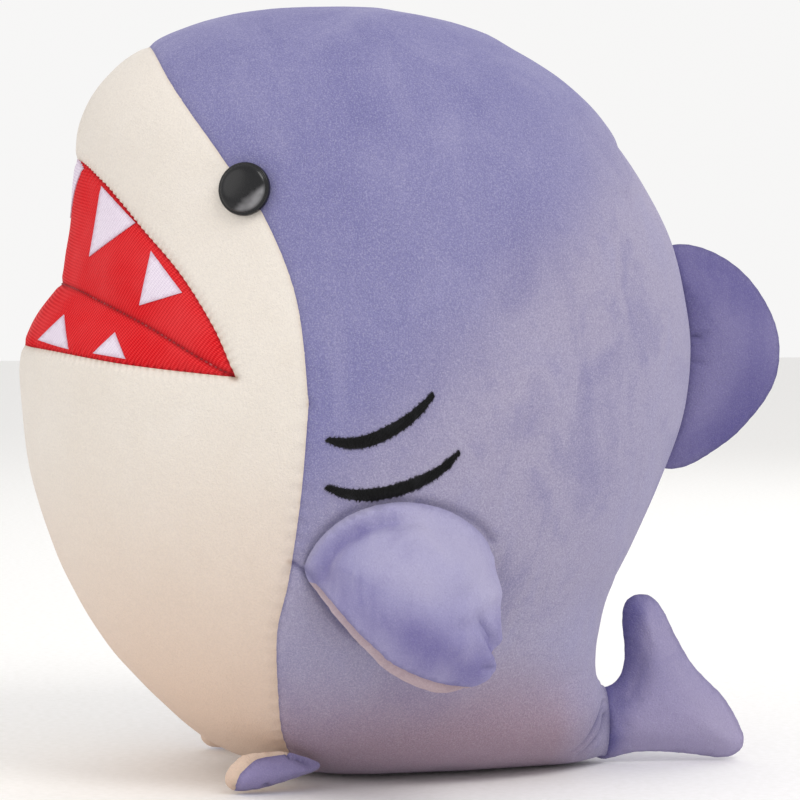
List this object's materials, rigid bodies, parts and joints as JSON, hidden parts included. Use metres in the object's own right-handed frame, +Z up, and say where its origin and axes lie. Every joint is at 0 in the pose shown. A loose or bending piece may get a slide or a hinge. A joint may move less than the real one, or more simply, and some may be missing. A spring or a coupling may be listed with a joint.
{
  "type": "plush shark",
  "caption": "Chubby upright plush shark with an open appliqued mouth, button eyes, embroidered gills and stuffed fins that flex.",
  "frame": {"origin": "on the surface it stands on, under the middle of the whole toy's outline", "axes": "+Z up, -Y the way the shark faces, +X its left side; +Y towards the dorsal and tail fins"},
  "size_m": [0.2892, 0.3536, 0.3498],
  "materials": {
    "purple_plush": "matte",
    "cream_plush": "matte",
    "red_tricot": "matte",
    "tooth_tricot": "matte",
    "black_thread": "satin",
    "eye_plastic": "gloss",
    "washer_plastic": "matte",
    "fibre_filling": "matte"
  },
  "bodies": {
    "root": {"side_panel_left": "purple_plush", "side_panel_right": "purple_plush", "snout_panel": "cream_plush", "belly_panel": "cream_plush", "mouth_upper": "red_tricot", "mouth_lower": "red_tricot", "body_stuffing": "fibre_filling", "tooth_upper_centre": "tooth_tricot", "tooth_upper_inner_left": "tooth_tricot", "tooth_upper_inner_right": "tooth_tricot", "tooth_upper_outer_left": "tooth_tricot", "tooth_upper_outer_right": "tooth_tricot", "tooth_lower_inner_left": "tooth_tricot", "tooth_lower_inner_right": "tooth_tricot", "tooth_lower_outer_left": "tooth_tricot", "tooth_lower_outer_right": "tooth_tricot", "gill_upper_left": "black_thread", "gill_upper_right": "black_thread", "gill_lower_left": "black_thread", "gill_lower_right": "black_thread", "eye_left": "eye_plastic", "eye_right": "eye_plastic", "eye_washer_left": "washer_plastic", "eye_washer_right": "washer_plastic"},
    "pectoral_fin_left": {"pectoral_fin_top_left": "purple_plush", "pectoral_fin_underside_left": "cream_plush", "pectoral_fin_stuffing_left": "fibre_filling"},
    "pectoral_fin_right": {"pectoral_fin_top_right": "purple_plush", "pectoral_fin_underside_right": "cream_plush", "pectoral_fin_stuffing_right": "fibre_filling"},
    "pelvic_fin_left": {"pelvic_fin_top_left": "purple_plush", "pelvic_fin_underside_left": "cream_plush", "pelvic_fin_stuffing_left": "fibre_filling"},
    "pelvic_fin_right": {"pelvic_fin_top_right": "purple_plush", "pelvic_fin_underside_right": "cream_plush", "pelvic_fin_stuffing_right": "fibre_filling"},
    "dorsal_fin": {"dorsal_fin_left": "purple_plush", "dorsal_fin_right": "purple_plush", "dorsal_fin_stuffing": "fibre_filling"},
    "tail_fin": {"tail_fin_left": "purple_plush", "tail_fin_right": "purple_plush", "tail_fin_stuffing": "fibre_filling"}
  },
  "joints": [
    {"name": "pectoral_left_flap", "type": "hinge", "parent": "root", "child": "pectoral_fin_left", "pos_m": [0.1195, -0.018, 0.135], "axis": [0, -1, 0], "range_deg": [0, 60], "stiffness_Nm_per_rad": 0.05},
    {"name": "pectoral_right_flap", "type": "hinge", "parent": "root", "child": "pectoral_fin_right", "pos_m": [-0.1195, -0.018, 0.135], "axis": [0, 1, 0], "range_deg": [0, 60], "stiffness_Nm_per_rad": 0.05},
    {"name": "pelvic_left_fold", "type": "hinge", "parent": "root", "child": "pelvic_fin_left", "pos_m": [0.06, -0.045, 0.01], "axis": [0, 0, 1], "range_deg": [0, 25], "stiffness_Nm_per_rad": 0.05},
    {"name": "pelvic_right_fold", "type": "hinge", "parent": "root", "child": "pelvic_fin_right", "pos_m": [-0.06, -0.045, 0.01], "axis": [0, 0, -1], "range_deg": [0, 25], "stiffness_Nm_per_rad": 0.05},
    {"name": "dorsal_sway", "type": "hinge", "parent": "root", "child": "dorsal_fin", "pos_m": [0, 0.1305, 0.19], "axis": [0, 0, 1], "range_deg": [-20, 20], "stiffness_Nm_per_rad": 0.06},
    {"name": "tail_sway", "type": "hinge", "parent": "root", "child": "tail_fin", "pos_m": [0, 0.0965, 0.02], "axis": [0, 0, 1], "range_deg": [-25, 25], "stiffness_Nm_per_rad": 0.06}
  ]
}
